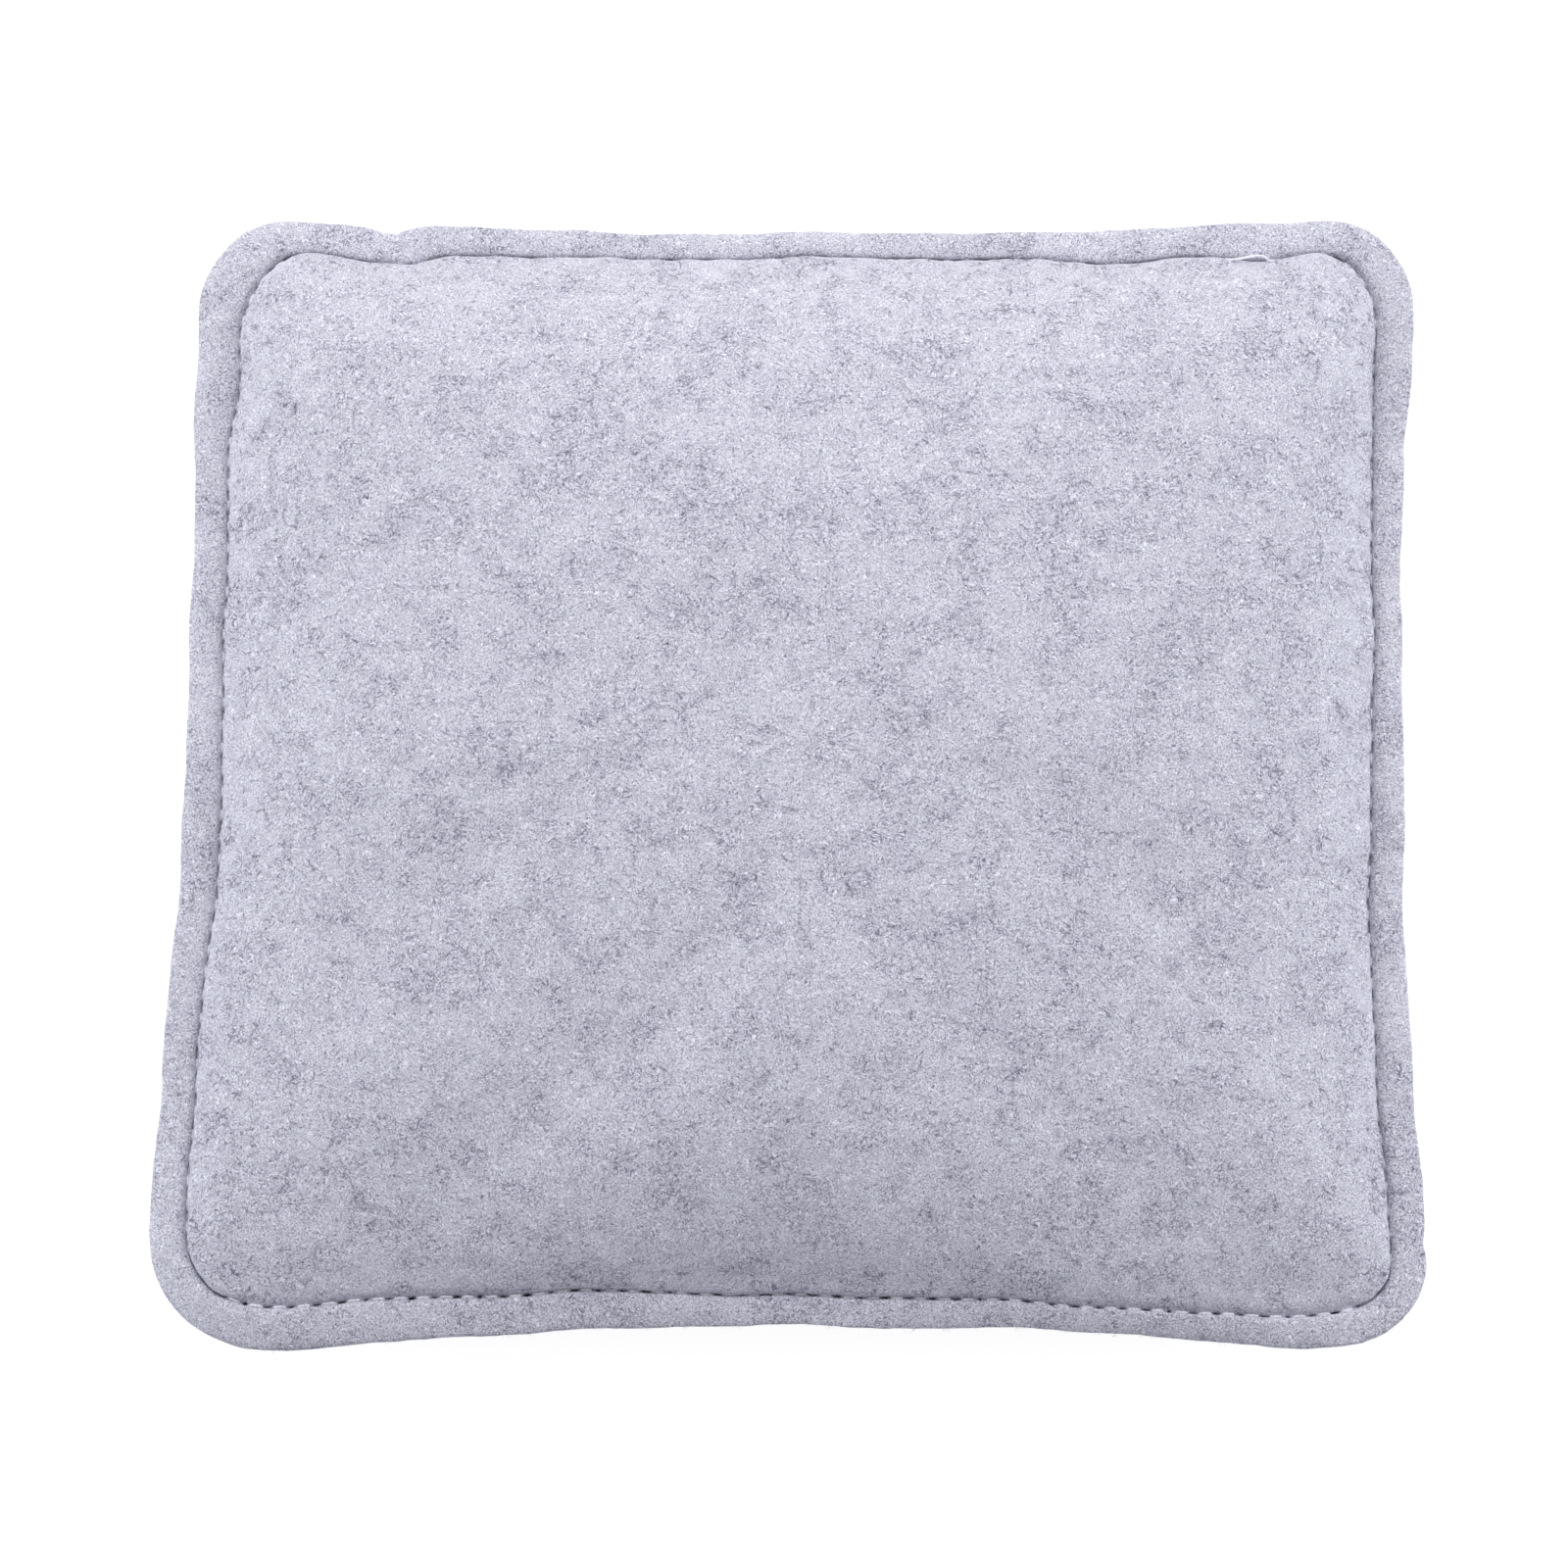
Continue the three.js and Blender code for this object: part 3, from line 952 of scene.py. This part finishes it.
def seen_by_camera(nodes):
    """1 for rays from the camera, also by way of glossy or clear surfaces, and 0 for light that bounces"""
    path = nodes.add("ShaderNodeLightPath")
    seen = nodes.math("MAXIMUM", path.outputs["Is Camera Ray"], path.outputs["Is Glossy Ray"])
    return nodes.math("MAXIMUM", seen, path.outputs["Is Transmission Ray"])


def felt_material(colour):
    """Heathered wool felt: soft clouds, fine grain, and crossing pale and dark strands, with painted shade in
    the needle holes and along the back crease
    """
    nodes = new_material("felt")
    place = millimetres(nodes)
    bent = wandering(nodes, place, 1.7, 1.6)
    drift = nodes.noise(place, 11.0, 3.0, 0.55)
    clump = nodes.noise(shifted(nodes, place, (31.0, 7.0, 3.0)), 4.0, 2.5, 0.5)
    cloud = nodes.math("MULTIPLY_ADD", clump, 0.5, nodes.math("MULTIPLY", drift, 0.5))
    grain = nodes.math("MULTIPLY", nodes.noise(bent, 0.21, 1.0, 0.5), 0.34)
    for angle in (-0.75, 0.35, 1.3):
        grain = nodes.math("MULTIPLY_ADD", strokes(nodes, bent, angle, 0.165, 3.6), 0.22, grain)
    pale_strand = strands(nodes, bent, 0.47, 0.09)
    fine_strand = strands(nodes, bent, 0.7, 0.06, (5.0, 17.0, 9.0))
    low_strand = strands(nodes, bent, 0.5, 0.08, (12.0, 4.0, 19.0))
    dark_strand = strands(nodes, bent, 1.4, 0.045, (23.0, 2.0, 14.0))
    long_strand = strands(nodes, bent, 2.6, 0.02, (41.0, 11.0, 6.0))
    pale = nodes.math("MAXIMUM", pale_strand, fine_strand)
    thick = nodes.ramp(cloud, 0.40, 0.56, 1.0, 0.1)
    dark = nodes.math("MULTIPLY", nodes.math("MAXIMUM", dark_strand, long_strand), thick)
    taut = nodes.attribute("wall_pull")
    darkening = nodes.math("MULTIPLY_ADD", taut, -0.26, -0.36)
    light = nodes.math("MULTIPLY_ADD", grain, 4.15, -1.6)
    off_middle_cloud = nodes.math("SUBTRACT", cloud, 0.5)
    for layer, gain in ((pale, 0.14), (low_strand, -0.12), (dark, darkening), (off_middle_cloud, 0.25)):
        light = nodes.math("MULTIPLY_ADD", layer, gain, light)
    off_middle = nodes.math("SUBTRACT", 0.48, light)
    light = nodes.math("MULTIPLY_ADD", off_middle, nodes.math("MULTIPLY", taut, 0.18), light)
    wool = nodes.tones(light, ((0.0, colour.dark), (0.5, colour.middle), (1.0, colour.pale)))
    # Painted shade in the needle holes and along the back crease: the felt's colour darkens towards a
    # near-black wool tone
    shade = nodes.ramp(nodes.attribute("painted_seam_shade"), 0.3, 0.85, 0.0, 0.9)
    relief = nodes.math("MULTIPLY_ADD", pale, 0.5, grain)
    return nodes.surface({
        "Base Color": nodes.mix(shade, wool, toned(colour.dark, 0.2)),
        "Normal": nodes.bump(relief, 0.6, 0.25 * MM),
        "Roughness": 0.95,
        "Specular IOR Level": 0.15,
        "Sheen Weight": 0.2,
        "Sheen Roughness": 0.6,
    })


def fibre_material(name, dark, pale):
    """Loose wool fibres, each of its own tone"""
    nodes = new_material(name)
    tone = nodes.ramp(nodes.attribute("fibre_tone"), 0.25, 0.95)
    return nodes.surface({
        "Base Color": nodes.mix(tone, dark, pale),
        "Roughness": 0.8,
        "Specular IOR Level": 0.2,
    })


def thread_material(colour):
    """Spun sewing thread with a fine twist"""
    nodes = new_material("thread")
    grain = nodes.noise(millimetres(nodes), 0.35, 2.0, 0.5)
    twist = nodes.ramp(grain, 0.3, 0.7)
    return nodes.surface({
        "Base Color": nodes.mix(twist, toned(colour.thread, 0.8), toned(colour.thread, 1.15)),
        "Normal": nodes.bump(grain, 0.4, 0.1 * MM),
        "Roughness": 0.6,
        "Sheen Weight": 0.2,
    })


def foam_material(colour):
    """Open-cell foam, with painted shade in the hollows of its cells"""
    nodes = new_material("foam")
    cells = nodes.add("ShaderNodeTexVoronoi", {"Vector": millimetres(nodes), "Scale": 1 / 0.9})
    hollow = nodes.ramp(cells.outputs["Distance"], 0.0, 0.55)
    return nodes.surface({
        # Painted shade: the hollows of the cells are darker
        "Base Color": nodes.mix(hollow, toned(colour.foam, 0.7), toned(colour.foam)),
        "Normal": nodes.bump(hollow, 0.6, 0.4 * MM),
        "Roughness": 0.95,
    })


def floor_material():
    """Pale paper floor: white to the camera apart from the pad's soft shadow, and pale to bouncing light"""
    nodes = new_material("floor")
    bounce = nodes.add("ShaderNodeBsdfDiffuse", {"Color": (0.75, 0.75, 0.75, 1)})
    shadowed = nodes.add("ShaderNodeBsdfDiffuse", {"Color": (0.26, 0.26, 0.27, 1)})
    glow = nodes.add("ShaderNodeEmission", {"Color": (1, 1, 1, 1), "Strength": 0.9})
    white = nodes.add("ShaderNodeAddShader", {0: shadowed.outputs[0], 1: glow.outputs[0]})
    inputs = {0: seen_by_camera(nodes), 1: bounce.outputs[0], 2: white.outputs[0]}
    both = nodes.add("ShaderNodeMixShader", inputs)
    nodes.tree.nodes.remove(nodes.tree.nodes["Principled BSDF"])
    return nodes.surface({"Surface": both.outputs[0]}, "Material Output")


def add_world(scene):
    """A white world, dimmer as a light than the camera sees it"""
    nodes = NodeTree(bpy.data.worlds.new("studio"))
    strength = nodes.ramp(seen_by_camera(nodes), 0.0, 1.0, *WORLD_STRENGTH)
    scene.world = nodes.surface({"Color": (1, 1, 1, 1), "Strength": strength}, "Background")


def add_area_light(name, place, target, width, power, colour):
    """A softbox that faces a point"""
    light = bpy.data.lights.new(name, "AREA")
    light.shape = "SQUARE"
    light.size = width
    light.energy = power
    light.color = colour
    lamp = bpy.data.objects.new(name, light)
    lamp.location = place
    lamp.rotation_euler = (Vector(target) - Vector(place)).to_track_quat("-Z", "Y").to_euler()
    bpy.context.scene.collection.objects.link(lamp)


def surface_fibres(form, draw, count, colour):
    """Fibres that lie loose on the top panel"""
    faces = bpy.data.objects["top_felt_panel"].data.polygons
    centres, normals = stored(faces, "center", "normal")
    areas = np.empty(len(faces))
    faces.foreach_get("area", areas)
    outer = centres[:, 2] > form.size.seam_level + 2 * MM
    weight = np.where(outer & (normals[:, 2] > 0.05), areas, 0)
    picked = draw.choice(len(faces), count, p=weight / weight.sum())
    lift = unit(normals[picked])
    lead = unit(np.cross(lift, unit(draw.normal(size=(count, 3)))))
    length = draw.gamma(1.6, 0.6 * MM, count) + 0.6 * MM
    flange_top = form.size.seam_level + form.size.felt_thickness + 0.6 * MM
    length = np.where(centres[picked][:, 2] < flange_top, FLANGE_FIBRE_SHARE * length, length)
    root = centres[picked] + lift * 0.03 * MM
    piece = fibre_piece("surface_fibres", draw, root, lead, lift, length, curl=1.1, radius=0.055 * MM)
    wool = fibre_material("loose_wool", toned(colour.dark, 1.1), toned(colour.pale))
    finish_piece(piece, wool, "felt")


def edge_fibres(form, draw, count, colour):
    """Short fibres that stand out of the cut edges"""
    edge = -form.size.seam_allowance
    share = draw.uniform(0, 1, count)
    upper = draw.uniform(0, 1, count) < UPPER_EDGE_SHARE
    level = draw.uniform(0.15, 0.95, count) * form.size.felt_thickness
    root = form.place(share, edge + 0.1 * MM, np.where(upper, level, -level))
    ahead = form.place(share + 1e-4, edge, 0) - form.place(share, edge, 0)
    out = unit(np.cross(unit(ahead), (0, 0, 1)))
    lead = unit(out + 0.7 * draw.normal(size=(count, 3)) * (1, 1, 0.6))
    lift = unit(np.cross(lead, unit(draw.normal(size=(count, 3)))))
    length = draw.gamma(2.0, 0.17 * MM, count) + 0.15 * MM
    piece = fibre_piece("edge_fibres", draw, root, lead, lift, length, curl=1.2, radius=0.03 * MM)
    finish_piece(piece, fibre_material("edge_wool", toned(colour.middle), toned(colour.pale)), "felt")


class PAD_OT_felt_panels(Operator):
    """Builds the two felt panels, bulged by a cloth under pressure"""

    bl_idname = "felting_pad.felt_panels"
    bl_label = "Felt Panels"

    def execute(self, context):
        form = PadForm(context.scene)
        size = form.size
        felt = felt_material(context.scene.pad_colour)
        top = felt_panel(form, "top_felt_panel", 1, size.pad_height - size.seam_level, size.pad_height)
        finish_piece(top, felt, "felt", "top_cover")
        depth = size.seam_level + size.rest_flattening
        bottom = felt_panel(form, "bottom_felt_panel", -1, depth, size.seam_level)
        finish_piece(bottom, felt, "felt", "bottom_cover")
        return {"FINISHED"}


class PAD_OT_foam_slab(Operator):
    """Builds the foam slab inside the panels"""

    bl_idname = "felting_pad.foam_slab"
    bl_label = "Foam Slab"

    def execute(self, context):
        form = PadForm(context.scene)
        size = form.size
        share = ring_shares(form.stitch_count)
        edge = form.half_width - FOAM_HIGH.x + FOAM_EDGE_GAP
        rise = FOAM_HIGH.z - size.seam_level - FOAM_GAP
        upper = form.section(rise, math.inf, INNER_SPACING, edge, 0)
        drop = size.seam_level - FOAM_LOW.z - FOAM_GAP
        lower = form.section(drop + size.rest_flattening, drop, INNER_SPACING, edge, 0)
        rings = [form.place(share, inset, height) for inset, height in zip(*upper)][::-1]
        rings += [form.place(share, inset, -height) for inset, height in zip(*lower)][1:]
        slab = lofted("foam_slab", rings)
        finish_piece(slab, foam_material(context.scene.pad_colour), "foam", "foam_core")
        return {"FINISHED"}


class PAD_OT_stitching(Operator):
    """Builds the four threads of the seam and the closing seam"""

    bl_idname = "felting_pad.stitching"
    bl_label = "Stitching"

    def execute(self, context):
        form = PadForm(context.scene)
        thread = thread_material(context.scene.pad_colour)
        closing_low, closing_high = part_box("closing_needle_thread")
        first = round(form.share_near(closing_high.x, closing_high.y) * form.stitch_count)
        last = round(form.share_near(closing_low.x, closing_high.y) * form.stitch_count)
        rest = first + form.stitch_count - 1
        pieces = (
            ("seam_needle_stitches", last + 1, rest, 1, 0, "seam_needle_thread"),
            ("seam_bobbin_stitches", last + 1, rest, -1, 0, "seam_bobbin_thread"),
            ("closing_needle_stitches", first, last, 1, SLACK_SPAN, "closing_needle_thread"),
            ("closing_bobbin_stitches", first, last, -1, 0, "closing_bobbin_thread"),
        )
        for name, start, end, direction, slack, node in pieces:
            line = thread_line(form, start, end, direction, slack)
            piece = thread_piece(name, line, form.stitch.thread_diameter)
            finish_piece(piece, thread, "thread", node)
        return {"FINISHED"}


class PAD_OT_fibres(Operator):
    """Builds the loose fibres on the felt and along its cut edges"""

    bl_idname = "felting_pad.fibres"
    bl_label = "Loose Fibres"

    def execute(self, context):
        scene = context.scene
        form = PadForm(scene)
        draw = np.random.default_rng(scene.pad_fibre.seed)
        surface_fibres(form, draw, scene.pad_fibre.surface, scene.pad_colour)
        edge_fibres(form, draw, scene.pad_fibre.edge, scene.pad_colour)
        return {"FINISHED"}


class PAD_OT_stage(Operator):
    """Builds the camera, the softboxes, the white world and the pale floor"""

    bl_idname = "felting_pad.stage"
    bl_label = "Stage"

    def execute(self, context):
        scene = context.scene
        stage = scene.pad_stage
        aim = Vector((0, -AIM_FORWARD, scene.pad_size.seam_level))
        camera = bpy.data.cameras.new("camera")
        camera.sensor_width = 36
        camera.lens = stage.focal_pixels / PICTURE_PIXELS * camera.sensor_width
        camera.clip_start = 0.05
        camera.shift_x, camera.shift_y = (pixels / PICTURE_PIXELS for pixels in PICTURE_SHIFT)
        view = bpy.data.objects.new("camera", camera)
        away = Vector((0, -math.cos(stage.elevation), math.sin(stage.elevation)))
        view.location = aim + away * stage.distance
        view.rotation_euler = (math.pi / 2 - stage.elevation, 0, 0)
        scene.collection.objects.link(view)
        scene.camera = view
        for softbox in SOFTBOXES:
            add_area_light(*softbox)
        add_world(scene)
        corners = FLOOR_HALF * np.array([(-1, -1, 0), (1, -1, 0), (1, 1, 0), (-1, 1, 0)])
        floor = mesh_object("floor", corners, [(0, 1, 2, 3)])
        floor.location.z = -FLOOR_DROP
        floor.data.materials.append(floor_material())
        scene.view_settings.view_transform = "Standard"
        return {"FINISHED"}


class PAD_PT_panel(Panel):
    """Lists the pad's sizes, colours and pieces"""

    bl_idname = "PAD_PT_panel"
    bl_label = "Felting Pad"
    bl_space_type = "VIEW_3D"
    bl_region_type = "UI"
    bl_category = "Felting Pad"

    def draw(self, context):
        layout = self.layout
        scene = context.scene
        for group in (scene.pad_size, scene.pad_stitch, scene.pad_fibre, scene.pad_colour, scene.pad_stage):
            column = layout.box().column()
            for name in group.__annotations__:
                column.prop(group, name)
        for operator in OPERATORS:
            layout.operator(operator.bl_idname)


OPERATORS = (PAD_OT_stage, PAD_OT_felt_panels, PAD_OT_foam_slab, PAD_OT_stitching, PAD_OT_fibres)
GROUPS = {
    "pad_size": PadSize,
    "pad_stitch": StitchSize,
    "pad_fibre": FibreCount,
    "pad_colour": FeltColour,
    "pad_stage": StageSize,
}


def register():
    for group in GROUPS.values():
        bpy.utils.register_class(group)
    for name, group in GROUPS.items():
        setattr(bpy.types.Scene, name, PointerProperty(type=group))
    for operator in OPERATORS:
        bpy.utils.register_class(operator)
    bpy.utils.register_class(PAD_PT_panel)


def unregister():
    bpy.utils.unregister_class(PAD_PT_panel)
    for operator in reversed(OPERATORS):
        bpy.utils.unregister_class(operator)
    for name in GROUPS:
        delattr(bpy.types.Scene, name)
    for group in reversed(GROUPS.values()):
        bpy.utils.unregister_class(group)


def main():
    register()
    bpy.ops.felting_pad.stage()
    bpy.ops.felting_pad.felt_panels()
    bpy.ops.felting_pad.foam_slab()
    bpy.ops.felting_pad.stitching()
    bpy.ops.felting_pad.fibres()


if __name__ == "__main__":
    main()
